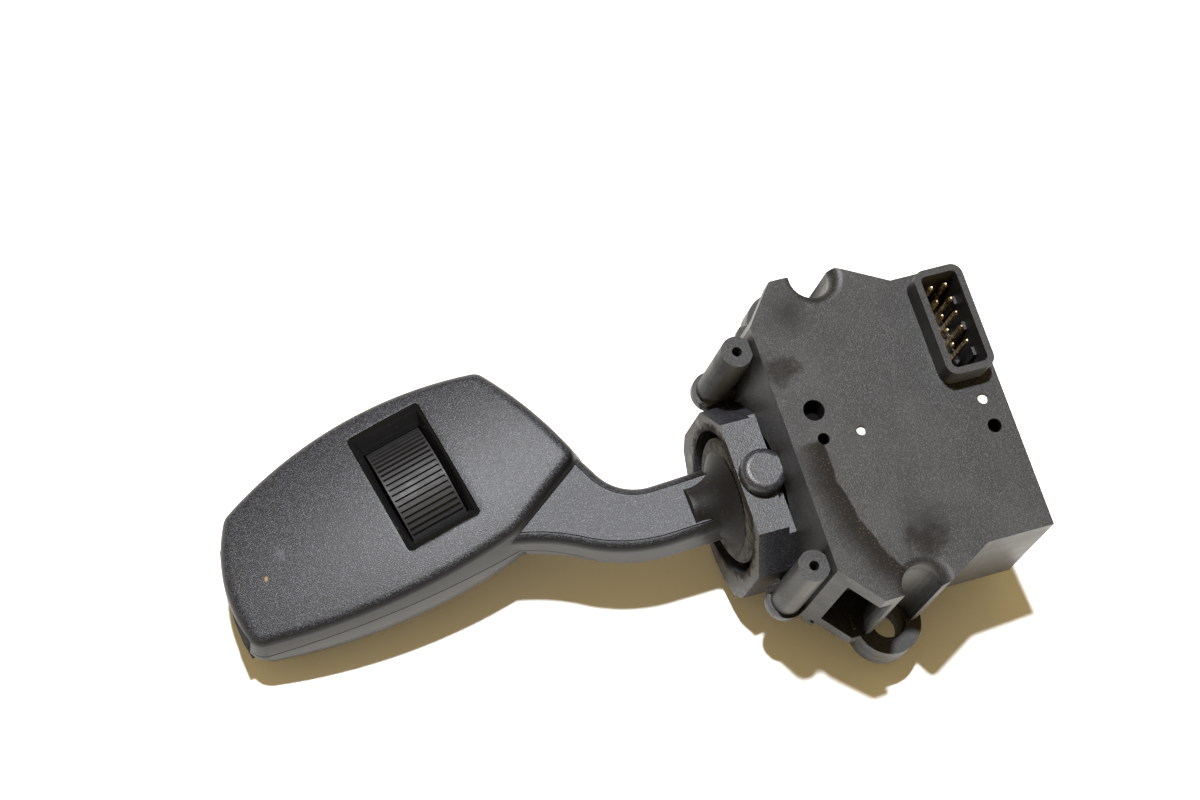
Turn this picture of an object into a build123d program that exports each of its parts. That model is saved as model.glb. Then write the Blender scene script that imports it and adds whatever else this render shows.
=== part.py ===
# Combination stalk switch of a car's steering column, in millimetres.
#
# The frame is the switch housing's: the origin lies midway between the two lug screw holes, on the
# underside of the lugs. +Z points up through the lugs to the connector face, +X runs from the lever
# to the connector end, and Y runs from lug to lug.
#
# The lever turns on a gimbal in the round collar: the gimbal ring swings about a vertical pin, and
# the lever tilts on a cross pin in the ring. The flat paddle at the lever's end carries a ribbed
# thumb wheel, which turns on a cross pin in a bezel, and a push button in its end face.
import os
from math import cos, radians, sin, sqrt

from build123d import *

os.makedirs("parts", exist_ok=True)

# ---------------------------------------------------------------- driving dimensions
# housing
top_z = 26.0  # connector face
base_z = 1.8  # underside of the housing walls, on the cover's tongues
left_x = -12.8  # lever side wall
right_x = 24.8  # connector side wall
half_width = 23.3  # over the straight side walls
wall = 1.8
parting_z = 23.2  # between the housing's walls and its cap
hood_z = 22.4  # top of the corner pockets

# mounting lugs, with the screwdriver grooves above them
lug_spacing = 54.0
lug_hole_r = 2.65
lug_r = 5.6
lug_top_z = 5.6
tongue_z = 2.8  # top of the cover's tongues, under the lugs
groove_r = 3.6
groove_wall = 1.1
flare_r, flare_shift = 2.2, 0.7  # rounded mouth of the grooves, wider on the connector side

# connector, 2 x 5 pins
pin_pitch = 2.54
pin_side = 0.64
pins_long, pins_wide = 5, 2
pin_center = (19.87, 14.72)
pin_tip_z = 28.0
shroud_x, shroud_y = (15.0, 23.6), (3.7, 22.2)
shroud_top_z = 30.5
shroud_wall = 1.15
socket_floor_z = 19.0

# collar and gimbal
pivot_x, pivot_z = -15.6, 4.3
collar_front_x = -19.5
collar_bore_r = 12.1
opening_top_z = 13.4  # the opening is flat under the pad
ring_r, ring_bore_r, ring_thick = 8.8, 6.8, 2.4
pivot_pin_r, axle_r, running_gap = 1.5, 1.25, 0.05

# lever neck: its plane droops from the gimbal towards the paddle
neck_droop, neck_roll = 12.0, -6.0
neck_half_thick = 4.0
inlay_thick, inlay_gap = 1.2, 0.15

# paddle: its plane passes through the seam between the two shells
paddle_origin = (-64.1, 18.0, -10.2)
paddle_swing, paddle_droop, paddle_roll = 11.2, 14.5, -9.6
crown_h = 9.0  # top of the upper shell above the seam
belly_h = 7.2  # bottom of the lower shell below the seam
paddle_wall = 1.8
crown_along_r, crown_across_r = 217.0, 70.0
window_long, window_wide = 23.0, 13.4
window_y = 0.55  # middle of the window and of the wheel

# thumb wheel, a sector of a drum that turns on a cross pin
wheel_r = 12.0  # over the ribs
wheel_depth = 0.6  # crest of the ribs below the crown
wheel_wide = 9.9
flange_wide = 0.3  # smooth rim beside the ribs
rib_pitch, rib_height = 5.0, 0.55  # degrees, mm
wheel_half_angle = 70.0
wheel_pin_r = 1.0

# end button
button_travel = 1.2


# ---------------------------------------------------------------- placing
def leaning(origin, swing, droop, roll):
    """A plane whose x axis swings, droops and rolls, in degrees, from the housing's X axis."""
    swing, droop, roll = radians(swing), radians(droop), radians(roll)
    x_dir = Vector(cos(droop) * cos(swing), cos(droop) * sin(swing), sin(droop))
    level = Vector(-sin(swing), cos(swing), 0)
    upright = x_dir.cross(level)
    return Plane(origin=origin, x_dir=x_dir, z_dir=upright * cos(roll) - level * sin(roll))


pivot = (pivot_x, 0, pivot_z)
neck = leaning(pivot, 0, neck_droop, neck_roll)
paddle = leaning(paddle_origin, paddle_swing, paddle_droop, paddle_roll)


def raised(plane, height):
    return plane.offset(height)


def across(plane, station, height=0.0):
    """The plane across a lever plane at a station along it: local x is its y, local y its z."""
    origin = plane.from_local_coords((station, 0, height))
    return Plane(origin=origin, x_dir=plane.y_dir, z_dir=plane.x_dir)


def facing_x(x):
    """The plane at x whose local x is the housing's Y and whose local y is the housing's Z."""
    return Plane(origin=(x, 0, 0), x_dir=(0, 1, 0), z_dir=(1, 0, 0))


both_sides = (1, -1)
lug_y = lug_spacing / 2
bowl_r, bowl_wall, bowl_end_x = 14.0, 1.6, 8.0
groove_y = lug_y + 0.3
screw_spots = [(-8.5, 16.4), (-8.5, -16.4), (13.0, 18.8), (20.0, -18.5)]
boss_spots = [(-15.2, 18.8), (-15.2, -18.8)]


# ---------------------------------------------------------------- housing
def housing_outline(z):
    """Outline of the housing: a box with slanted shoulders that carry the lugs."""
    half = [
        (left_x, 21.3),
        (-7.0, 28.1),
        (-4.7, 28.1),
        (4.7, 27.8),
        (13.0, half_width),
        (right_x, half_width),
    ]
    with BuildSketch(Plane.XY.offset(z)) as outline:
        with BuildLine():
            Polyline(half + [(x, -y) for x, y in reversed(half)], close=True)
        make_face()
    return outline.sketch


def cavity_outline(z, gap=0.0):
    """Outline of the space inside the housing, or of a piece that fits it with a gap."""
    half = [
        (left_x + wall + gap, 17.6 - gap),
        (8.0, 17.6 - gap),
        (11.5, half_width - wall - gap),
        (right_x - wall - gap, half_width - wall - gap),
    ]
    with BuildSketch(Plane.XY.offset(z)) as outline:
        with BuildLine():
            Polyline(half + [(x, -y) for x, y in reversed(half)], close=True)
        make_face()
    return outline.sketch


def groove_outline(z):
    """Outlines of the two half-round screwdriver grooves, open at the housing's sides."""
    with BuildSketch(Plane.XY.offset(z)) as outline:
        with Locations(*[(0, side * groove_y) for side in both_sides]):
            Circle(groove_r)
        for side in both_sides:
            with Locations((0, side * (groove_y + groove_r))):
                Rectangle(2 * groove_r, 2 * groove_r)
    return outline.sketch


def flare_profile():
    """Half profile of a groove's rounded mouth in the XZ plane."""
    base = groove_r - flare_shift
    with BuildSketch(Plane.XZ) as profile:
        with BuildLine():
            Line((0, top_z), (base + flare_r, top_z))
            bend = (base + 0.2929 * flare_r, top_z - 0.2929 * flare_r)
            ThreePointArc((base + flare_r, top_z), bend, (base, top_z - flare_r))
            Polyline((base, top_z - flare_r), (0, top_z - flare_r), (0, top_z))
        make_face()
    return profile.sketch


shroud_mid = (sum(shroud_x) / 2, sum(shroud_y) / 2)
shroud_size = (shroud_x[1] - shroud_x[0], shroud_y[1] - shroud_y[0])
socket_size = (shroud_size[0] - 2 * shroud_wall, shroud_size[1] - 2 * shroud_wall)
floor_thick = 1.6
locating_spots = [(-0.8, 0.0, 0.85), (21.0, 0.0, 0.95)]
face_holes = [(-7.4, 0.2, 1.0), (21.2, -4.9, 1.2)]
blind_hole = (-7.3, 5.2, 1.8)

with BuildPart() as housing_shell:
    extrude(housing_outline(base_z), amount=parting_z - base_z)
    # undercut over the cover's tongues, then the lug rings
    for side in both_sides:
        with BuildSketch(Plane.XY.offset(base_z)):
            with BuildLine():
                undercut = [(-13.2, 24.8), (-9.3, 19.7), (lug_r, 19.7), (lug_r, 33), (-13.2, 33)]
                Polyline([(x, side * y) for x, y in undercut], close=True)
            make_face()
        extrude(amount=tongue_z - base_z, mode=Mode.SUBTRACT)
    with BuildSketch(Plane.XY.offset(tongue_z)):
        with Locations(*[(0, side * lug_y) for side in both_sides]):
            Circle(lug_r)
    extrude(amount=lug_top_z - tongue_z)
    # bosses on the lever side, each with a web, a foot and a ledge
    for x, y in boss_spots:
        with BuildSketch(Plane.XY.offset(4.0)):
            with Locations((x, y)):
                Circle(2.65)
        extrude(amount=19.0)
        with BuildSketch(Plane.XY.offset(4.0)):
            with Locations(((x + left_x) / 2, y)):
                Rectangle(left_x - x, 3.4)
        extrude(amount=17.6)
        inward = -1 if y > 0 else 1
        with BuildSketch(Plane.XY.offset(3.4)):
            with Locations((x, y)):
                Circle(3.3)
            with Locations(((x + left_x) / 2, y + inward * 1.3)):
                Rectangle(left_x - x, 5.0)
        extrude(amount=1.7)
        with BuildSketch(Plane.XZ.offset(-y - inward * 2.2)):
            with BuildLine():
                Polyline((x - 3.0, 5.1), (left_x, 5.1), (left_x, 9.6), close=True)
            make_face()
        extrude(amount=0.5, both=True)
    # cavity, and the arch that lets the lever in
    extrude(cavity_outline(base_z), amount=parting_z - base_z, mode=Mode.SUBTRACT)
    with BuildSketch(facing_x(left_x - 0.1)):
        with Locations((0, pivot_z)):
            Circle(collar_bore_r + 0.1)
        with Locations((0, base_z + wall / 2)):
            Rectangle(2 * bowl_r + 0.2, wall + 0.2)
    extrude(amount=wall + 0.2, mode=Mode.SUBTRACT)
    # grooves and lug screw holes
    extrude(groove_outline(lug_top_z), amount=parting_z - lug_top_z, mode=Mode.SUBTRACT)
    with Locations(*[(0, side * lug_y, lug_top_z) for side in both_sides]):
        CounterSinkHole(lug_hole_r, lug_hole_r + 0.35, depth=lug_top_z)
    # pockets in the slanted lever side corners, open to the outside, around the half tubes
    for side in both_sides:
        pocket = [(-13.2, 25.5), (-7.1, 20.3), (-2.0, 20.3), (-2.0, 31.5), (-8.5, 31.5)]
        with BuildSketch(Plane.XY.offset(lug_top_z)):
            with BuildLine():
                Polyline([(x, side * y) for x, y in pocket], close=True)
            make_face()
            with Locations((0, side * groove_y)):
                Circle(groove_r + groove_wall, mode=Mode.SUBTRACT)
        extrude(amount=hood_z - lug_top_z, mode=Mode.SUBTRACT)
        # a rib on the pocket's floor, and a foot under the corner
        with BuildSketch(Plane.XY.offset(lug_top_z)):
            with Locations((-6.2, side * 25.6)):
                Rectangle(0.35, 2.4)
        extrude(amount=0.8)
        with BuildSketch(Plane.XY.offset(base_z)):
            with BuildLine():
                foot = [(-12.5, 21.6), (-11.1, 23.2), (-10.2, 22.4), (-11.6, 20.8)]
                Polyline([(x, side * y) for x, y in foot], close=True)
            make_face()
        extrude(amount=-1.2)
    # posts for two of the cover screws
    with BuildSketch(Plane.XY.offset(base_z + wall)):
        with Locations(*screw_spots[:2]):
            Circle(2.5)
    extrude(amount=parting_z - base_z - wall)
    # recess for the connector shroud, which hangs from the cap
    with BuildSketch(Plane.XY.offset(socket_floor_z - floor_thick - 0.1)):
        with Locations(shroud_mid):
            RectangleRounded(shroud_size[0] + 0.1, shroud_size[1] + 0.1, 2.05)
    extrude(amount=top_z - socket_floor_z + floor_thick, mode=Mode.SUBTRACT)
    # pilot holes
    with Locations(*[(x, y, 23.0) for x, y in boss_spots]):
        Hole(0.83, depth=12.0)
    with BuildSketch(Plane.XY.offset(base_z + wall)):
        with Locations(*screw_spots[:2]):
            Circle(1.0)
    extrude(amount=8.0, mode=Mode.SUBTRACT)

with BuildPart() as housing_cap:
    extrude(housing_outline(parting_z), amount=top_z - parting_z)
    extrude(cavity_outline(parting_z), amount=top_z - wall - parting_z, mode=Mode.SUBTRACT)
    # grooves, with their rounded mouths
    extrude(groove_outline(parting_z), amount=top_z - parting_z, mode=Mode.SUBTRACT)
    mouth = revolve(flare_profile(), axis=Axis.Z, mode=Mode.PRIVATE)
    for side in both_sides:
        add(mouth.moved(Location((flare_shift, side * groove_y, 0))), mode=Mode.SUBTRACT)
    # connector shroud, sunk through the top
    with BuildSketch(Plane.XY.offset(socket_floor_z - floor_thick)):
        with Locations(shroud_mid):
            RectangleRounded(*shroud_size, 2.0)
    extrude(amount=shroud_top_z - socket_floor_z + floor_thick)
    # posts for the other two cover screws
    with BuildSketch(Plane.XY.offset(base_z + wall)):
        with Locations(*screw_spots[2:]):
            Circle(2.5)
            Circle(1.0, mode=Mode.SUBTRACT)
    extrude(amount=8.0)
    with BuildSketch(Plane.XY.offset(base_z + wall + 8.0)):
        with Locations(*screw_spots[2:]):
            Circle(2.5)
    extrude(amount=top_z - wall - base_z - wall - 8.0)
    with BuildSketch(Plane.XY.offset(socket_floor_z)):
        with Locations(shroud_mid):
            RectangleRounded(*socket_size, 0.9)
    extrude(amount=shroud_top_z - socket_floor_z, mode=Mode.SUBTRACT)
    # keys on the socket's outer wall, the coding hole and the pin holes
    with BuildSketch(Plane.XY.offset(socket_floor_z)):
        for y in (8.0, 12.6, 17.2):
            with Locations((shroud_x[1] - shroud_wall - 0.2, y)):
                Rectangle(0.6, 1.4)
    extrude(amount=7.5)
    with BuildSketch(Plane.XY.offset(socket_floor_z - floor_thick)):
        with Locations(pin_center):
            with GridLocations(pin_pitch, pin_pitch, pins_wide, pins_long):
                Rectangle(pin_side, pin_side)
        with Locations((18.6, 6.6)):
            Rectangle(1.4, 1.4)
    extrude(amount=floor_thick, mode=Mode.SUBTRACT)
    # holes in the top face
    with Locations((blind_hole[0], blind_hole[1], top_z - wall)):
        Cylinder(blind_hole[2] + 1.0, 3.0, align=(Align.CENTER, Align.CENTER, Align.MAX))
    with Locations((blind_hole[0], blind_hole[1], top_z)):
        Hole(blind_hole[2], depth=wall + 2.0)
    for x, y, r in locating_spots + face_holes:
        with Locations((x, y, top_z)):
            Hole(r, depth=wall)

# ---------------------------------------------------------------- cover under the housing
cover_gap = 0.1
with BuildPart() as base_cover:
    extrude(cavity_outline(base_z, cover_gap), amount=wall)
    # half-round bowl under the lever's tail
    with BuildSketch(facing_x(left_x)):
        with Locations((0, pivot_z)):
            Circle(bowl_r)
        with Locations((0, base_z + wall + bowl_r)):
            Rectangle(2 * bowl_r + 2, 2 * bowl_r, mode=Mode.SUBTRACT)
    extrude(amount=bowl_end_x - left_x)
    with BuildSketch(facing_x(left_x)):
        with Locations((0, pivot_z)):
            Circle(bowl_r - bowl_wall)
    extrude(amount=bowl_end_x - left_x - bowl_wall, mode=Mode.SUBTRACT)
    # tongues under the lugs
    for side in both_sides:
        with BuildSketch(Plane.XY):
            with Locations((0, side * lug_y)):
                Circle(lug_r)
            with Locations((0, side * (lug_y + 16.5) / 2)):
                Rectangle(2 * lug_r, lug_y - 16.5)
        extrude(amount=base_z)
        with BuildSketch(Plane.XY.offset(base_z)):
            with Locations((0, side * lug_y)):
                Circle(lug_r)
            with Locations((0, side * (lug_y + 19.8) / 2)):
                Rectangle(2 * lug_r, lug_y - 19.8)
        extrude(amount=tongue_z - base_z)
    with Locations(*[(0, side * lug_y, tongue_z) for side in both_sides]):
        Hole(lug_hole_r, depth=tongue_z)
    with BuildSketch(Plane.XY.offset(base_z)):
        with Locations(*screw_spots):
            Circle(1.3)
    extrude(amount=wall, mode=Mode.SUBTRACT)

with BuildPart() as cover_screws:
    with BuildSketch(Plane.XY.offset(base_z)):
        with Locations(*screw_spots):
            Circle(0.98)
    extrude(amount=8.6)
    with BuildSketch(Plane.XY.offset(base_z)):
        with Locations(*screw_spots):
            Circle(2.1)
    extrude(amount=-1.4)
    with BuildSketch(Plane.XY.offset(base_z - 1.4)):
        with Locations(*screw_spots):
            RegularPolygon(1.0, 6)
    extrude(amount=0.9, mode=Mode.SUBTRACT)

# ---------------------------------------------------------------- electronics in the housing
board_z, board_thick = 12.4, 1.6
with BuildPart() as circuit_board:
    with BuildSketch(Plane.XY.offset(board_z)):
        with BuildLine():
            upper = [(-10.2, 16.9), (15.9, 16.9), (15.9, 20.8), (22.4, 20.8), (22.4, -15.0)]
            lower = [(16.6, -20.8), (11.8, -20.8), (8.4, -16.9), (-10.2, -16.9)]
            Polyline(upper + lower, close=True)
        make_face()
        with Locations(*screw_spots):
            Circle(2.8, mode=Mode.SUBTRACT)
        with Locations(pin_center):
            with GridLocations(pin_pitch, pin_pitch, pins_wide, pins_long):
                Rectangle(pin_side, pin_side, mode=Mode.SUBTRACT)
    extrude(amount=board_thick)

with BuildPart() as hall_sensors:
    with BuildSketch(Plane.XY.offset(board_z)):
        with Locations((-6.0, 3.4), (-6.0, -3.4)):
            Rectangle(4.0, 3.0)
    extrude(amount=-1.1)

with BuildPart() as controller_chip:
    with BuildSketch(Plane.XY.offset(board_z + board_thick)):
        with Locations((8.0, -7.0)):
            Rectangle(7.0, 7.0)
    extrude(amount=1.4)
    chamfer(controller_chip.edges().group_by(Axis.Z)[-1], 0.25)

with BuildPart() as connector_pins:
    with BuildSketch(Plane.XY.offset(board_z - 0.9)):
        with Locations(pin_center):
            with GridLocations(pin_pitch, pin_pitch, pins_wide, pins_long):
                Rectangle(pin_side, pin_side)
    extrude(amount=pin_tip_z - board_z + 0.9)
    chamfer(connector_pins.edges().group_by(Axis.Z)[-1], 0.45, 0.2)

# frame that clips under the top face; its two locating pins stand in the face's holes
with BuildPart() as inner_carrier:
    with BuildSketch(Plane.XY.offset(22.4)):
        with Locations((3.4, 0)):
            Rectangle(22.0, 9.0)
        with Locations((-3.9, -10.0), (9.0, -10.0)):
            Rectangle(3.8, 13.4)
        with Locations((blind_hole[0], blind_hole[1]), (face_holes[0][0], face_holes[0][1])):
            Circle(3.2, mode=Mode.SUBTRACT)
    extrude(amount=1.7)
    with BuildSketch(Plane.XY.offset(22.4)):
        with Locations((18.0, 0)):
            Rectangle(9.6, 4.0)
    extrude(amount=1.7)
    with BuildSketch(Plane.XY.offset(22.4)):
        for x, y, r in locating_spots:
            with Locations((x, y)):
                Circle(r - 0.04)
    extrude(amount=top_z - 0.7 - 22.4)
    # legs down to the board
    with BuildSketch(Plane.XY.offset(board_z + board_thick)):
        with Locations((-3.9, -15.6), (9.0, -15.6), (3.4, 3.4)):
            Rectangle(2.4, 2.0)
    extrude(amount=22.4 - board_z - board_thick)

# ---------------------------------------------------------------- collar and gimbal
collar_half = [
    (9.7, 15.3),
    (14.8, 8.0),
    (14.8, -3.2),
    (13.2, -6.4),
    (9.8, -8.6),
    (6.0, -9.8),
]
knob_r, knob_top_r, knob_top_z = 3.85, 2.55, 18.0
pad_back_x = -14.1
with BuildPart() as bearing_collar:
    with BuildSketch(facing_x(collar_front_x)):
        with BuildLine():
            Polyline([(-y, z) for y, z in reversed(collar_half)] + collar_half, close=True)
        make_face()
    extrude(amount=left_x - collar_front_x)
    # step behind the pad
    with BuildSketch(facing_x(pad_back_x)):
        with Locations((0, 16.3)):
            Rectangle(32, 4.2)
    extrude(amount=left_x - pad_back_x, mode=Mode.SUBTRACT)
    # knob over the upper bearing
    with BuildSketch(Plane.XY.offset(opening_top_z)):
        with Locations((pivot_x, 0)):
            Circle(knob_r)
            with Locations((knob_r + left_x - pivot_x, 0)):
                Rectangle(2 * knob_r, 4 * knob_r, mode=Mode.SUBTRACT)
    extrude(amount=knob_top_z - opening_top_z)
    knob_rim = [
        edge
        for edge in bearing_collar.edges().filter_by(GeomType.CIRCLE)
        if abs(edge.center().Z - knob_top_z) < 0.01
    ]
    fillet(knob_rim, knob_r - knob_top_r)
    # bore and the two pivot bearings
    with BuildSketch(facing_x(collar_front_x)):
        with Locations((0, pivot_z)):
            Circle(collar_bore_r)
        with Locations((0, opening_top_z)):
            Rectangle(30, 10, align=(Align.CENTER, Align.MIN), mode=Mode.SUBTRACT)
    extrude(amount=left_x - collar_front_x, mode=Mode.SUBTRACT)
    with BuildSketch(Plane.XY.offset(pivot_z - 13.3)):
        with Locations((pivot_x, 0)):
            Circle(pivot_pin_r + running_gap)
    extrude(amount=26.6, mode=Mode.SUBTRACT)

with BuildPart() as gimbal_ring:
    with BuildSketch(facing_x(pivot_x - ring_thick / 2)):
        with Locations((0, pivot_z)):
            Circle(ring_r)
            Circle(ring_bore_r, mode=Mode.SUBTRACT)
    extrude(amount=ring_thick)
    # bosses around the cross axle
    with BuildSketch(Plane.XZ.offset(-ring_r)):
        with Locations((pivot_x, pivot_z)):
            Circle(2.1)
    extrude(amount=2 * ring_r)
    with BuildSketch(Plane.XY.offset(pivot_z - 13.0)):
        with Locations((pivot_x, 0)):
            Circle(pivot_pin_r)
    extrude(amount=26.0)
    with BuildSketch(facing_x(pivot_x - 3)):
        with Locations((0, pivot_z)):
            Circle(ring_bore_r)
    extrude(amount=6, mode=Mode.SUBTRACT)
    with BuildSketch(Plane.XZ.offset(-12)):
        with Locations((pivot_x, pivot_z)):
            Circle(axle_r + running_gap)
    extrude(amount=24, mode=Mode.SUBTRACT)

# ---------------------------------------------------------------- lever root and detent
root_r, tail_r, tail_end_x = 5.0, 4.2, -3.0
plunger_r, plunger_tip = 1.6, 15.4
spring_bore_r = 2.4
with BuildPart() as lever_root:
    with BuildSketch(facing_x(-17.8)):
        with Locations((0, pivot_z)):
            Circle(root_r)
    extrude(amount=6.0)
    with BuildSketch(facing_x(-12.0)):
        with Locations((0, pivot_z)):
            Circle(tail_r)
    extrude(amount=tail_end_x + 12.0)
    # seat of the magnet on top of the tail
    with BuildSketch(Plane.XY.offset(pivot_z + 2.5)):
        with Locations((-6.0, 0)):
            Rectangle(5.0, 5.0)
    extrude(amount=1.9)
    with BuildSketch(facing_x(tail_end_x - 8.0)):
        with Locations((0, pivot_z)):
            Circle(spring_bore_r)
    extrude(amount=8.0, mode=Mode.SUBTRACT)
    with BuildSketch(Plane.XZ.offset(-8)):
        with Locations((pivot_x, pivot_z)):
            Circle(axle_r + 0.02)
    extrude(amount=16, mode=Mode.SUBTRACT)

with BuildPart() as cross_axle:
    with BuildSketch(Plane.XZ.offset(-8.5)):
        with Locations((pivot_x, pivot_z)):
            Circle(axle_r)
    extrude(amount=17.0)

with BuildPart() as lever_magnet:
    with BuildSketch(Plane.XY.offset(pivot_z + 4.4)):
        with Locations((-6.0, 0)):
            Rectangle(4.0, 4.0)
    extrude(amount=1.0)

with BuildPart() as detent_plunger:
    with BuildSketch(Plane.XZ):
        with BuildLine():
            tip_x = pivot_x + plunger_tip
            Polyline(
                (-6.2, pivot_z),
                (-6.2, pivot_z + spring_bore_r - 0.05),
                (tail_end_x - 0.4, pivot_z + spring_bore_r - 0.05),
                (tail_end_x - 0.4, pivot_z + plunger_r),
                (tip_x - plunger_r, pivot_z + plunger_r),
            )
            RadiusArc((tip_x - plunger_r, pivot_z + plunger_r), (tip_x, pivot_z), plunger_r)
            Line((tip_x, pivot_z), (-6.2, pivot_z))
        make_face()
    revolve(axis=Axis((0, 0, pivot_z), (1, 0, 0)))

spring_wire = 0.5
with BuildPart() as detent_spring:
    with BuildLine() as coil:
        Helix(1.4, 4.2, 1.75, center=(tail_end_x - 7.7, 0, pivot_z), direction=(1, 0, 0))
    with BuildSketch(Plane(coil.line @ 0, z_dir=coil.line % 0)):
        Rectangle(spring_wire, spring_wire)
    sweep()

# bowl-shaped track that the plunger rides in, on a foot that stands in the cover's bowl
track_r = plunger_tip + 0.3
with BuildPart() as detent_track:
    with BuildSketch(facing_x(-3.2 + 1.0)):
        with Locations((0, pivot_z)):
            Rectangle(15.0, 13.0)
    extrude(amount=6.2)
    with Locations(pivot):
        Sphere(track_r, mode=Mode.SUBTRACT)
    with BuildSketch(facing_x(1.2)):
        with Locations((0, -4.35)):
            Rectangle(10.0, 5.3)
    extrude(amount=bowl_end_x - bowl_wall - 1.2)

# ---------------------------------------------------------------- lever neck
def neck_outline(plane, inset=0.0, front=-5.6):
    """Outline of the neck: straight at the collar, then bending and widening into the paddle."""
    with BuildSketch(plane) as outline:
        with BuildLine():
            Line((front, -5.1), (front, 5.8))
            Line((front, 5.8), (-14.5, 5.8))
            TangentArc((-14.5, 5.8), (-22.2, 10.5), tangent=(-1, 0))
            Line((-22.2, 10.5), (-25.4, 17.0))
            Line((-25.4, 17.0), (-42.0, 3.8))
            Line((-14.0, -5.1), (front, -5.1))
            lower = TangentArc((-14.0, -5.1), (-28.5, -0.9), tangent=(-1, 0))
            TangentArc((-28.5, -0.9), (-42.0, 3.8), tangent=lower % 1)
        make_face()
        if inset:
            offset(amount=-inset, kind=Kind.INTERSECTION, mode=Mode.REPLACE)
    return outline.sketch


def inlay_outline(plane, gap=0.0):
    """Outline of the inlay: hollow at the collar end, ending under the paddle's edge."""
    with BuildSketch(plane) as outline:
        add(neck_outline(Plane.XY, 1.6 - gap, 0.0))
        with Locations((-2.6 + gap, 0)):
            Circle(4.4, mode=Mode.SUBTRACT)
        with Locations((-2.6 + gap, 0)):
            Rectangle(8, 12, align=(Align.MIN, Align.CENTER), mode=Mode.SUBTRACT)
    return outline.sketch


def lead_outline(plane, inset=0.0):
    """Outline of the leads' channel, or of the ribbon in it, along the middle of the neck."""
    with BuildSketch(plane) as outline:
        with BuildLine():
            lower = [(-8.2, -1.6), (-17.0, -1.6), (-30.5, 9.4)]
            Polyline(lower + [(-29.0, 12.6), (-16.2, 1.6), (-8.2, 1.6)], close=True)
        make_face()
        if inset:
            offset(amount=-inset, kind=Kind.INTERSECTION, mode=Mode.REPLACE)
    return outline.sketch


def trumpet():
    """Half profile of the lever's round root in the XZ plane, with a seat for the dust boot."""
    with BuildSketch(Plane.XZ) as profile:
        with BuildLine():
            Polyline((-26.0, pivot_z), (-17.8, pivot_z), (-17.8, pivot_z + boot_seat_r))
            Line((-17.8, pivot_z + boot_seat_r), (-19.4, pivot_z + boot_seat_r))
            Line((-19.4, pivot_z + boot_seat_r), (-19.4, pivot_z + 8.4))
            ThreePointArc((-19.4, pivot_z + 8.4), (-21.4, pivot_z + 5.4), (-26.0, pivot_z + 3.7))
            Line((-26.0, pivot_z + 3.7), (-26.0, pivot_z))
        make_face()
    return profile.sketch


boot_seat_r, boot_r = 5.9, 10.6
neck_cut_x = 10.3  # the neck's lower half ends here, where the paddle's lower shell begins
with BuildPart() as neck_bar:
    extrude(neck_outline(raised(neck, -neck_half_thick)), amount=2 * neck_half_thick)
    long_edges = []
    for edge in neck_bar.edges():
        middle = neck.to_local_coords(edge.center())
        on_top_or_bottom = abs(abs(middle.Z) - neck_half_thick) < 0.01
        if on_top_or_bottom and middle.X < -8 and abs(middle.Y - 10.4) > 0.5:
            long_edges.append(edge)
    fillet(long_edges, 1.9)
    revolve(trumpet(), axis=Axis((0, 0, pivot_z), (1, 0, 0)))

with BuildPart() as neck_inlay:
    extrude(inlay_outline(raised(neck, neck_half_thick - inlay_thick)), amount=inlay_thick)

with BuildPart() as lead_ribbon:
    extrude(lead_outline(raised(neck, 2.1), 0.15), amount=0.5)

# shallow cone around the lever's root, flat under the collar's pad
with BuildPart() as dust_boot:
    with BuildSketch(Plane.XZ):
        with BuildLine():
            Polyline(
                (-19.3, pivot_z + boot_seat_r + 0.05),
                (-19.1, pivot_z + boot_r - 0.5),
                (-18.7, pivot_z + boot_r),
                (-18.2, pivot_z + boot_r),
                (-18.3, pivot_z + boot_seat_r + 0.05),
                close=True,
            )
        make_face()
    revolve(axis=Axis((0, 0, pivot_z), (1, 0, 0)))
    with BuildSketch(facing_x(-20)):
        with Locations((0, pivot_z + 8.5)):
            Rectangle(30, 10, align=(Align.CENTER, Align.MIN))
    extrude(amount=4, mode=Mode.SUBTRACT)

# ---------------------------------------------------------------- paddle
# The paddle's local x runs from its end button to the neck, y runs across it and z is up; the
# middle of the wheel's window is at x = y = 0, and the seam between the shells at z = 0.
def paddle_outline(plane, grow):
    """Outline of the paddle, grown outwards from the edge of its upper face."""
    top, bottom = 16.0 + grow, -16.6 - grow
    right_top, right_low = (17.9 + 0.9 * grow, 12.1 + 0.8 * grow), (25.2 + grow, -9.4 - 0.6 * grow)
    low, left_low = (10.5 + 0.2 * grow, -16.1 - grow), (-35.8 - 0.9 * grow, -10.7 - grow)
    left_top = (-30.2 - grow, 11.3 + 0.8 * grow)
    with BuildSketch(plane) as outline:
        with BuildLine():
            ThreePointArc(left_top, (-5.0, top), right_top)
            ThreePointArc(right_top, (22.5 + grow, 1.3), right_low)
            Line(right_low, low)
            ThreePointArc(low, (-9.0, bottom), left_low)
            ThreePointArc(left_low, (-35.8 - grow, -0.7), left_top)
        make_face()
        fillet(outline.vertices().sort_by_distance(low)[1:], max(2.6 + grow, 0.8))
        fillet(outline.vertices().sort_by_distance(low)[:1], 6.0 + grow)
    return outline.sketch


def barrel_profile(height, across_r):
    """Half profile of a barrel along the paddle, which crowns it both ways."""
    plane = Plane(origin=paddle.origin, x_dir=paddle.x_dir, z_dir=-paddle.y_dir)
    drop = crown_along_r - sqrt(crown_along_r**2 - 50.0**2)
    with BuildSketch(plane) as profile:
        with BuildLine():
            Line((-50, height - across_r), (50, height - across_r))
            Line((50, height - across_r), (50, height - drop))
            ThreePointArc((50, height - drop), (0, height), (-50, height - drop))
            Line((-50, height - drop), (-50, height - across_r))
        make_face()
    return profile.sketch


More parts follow.
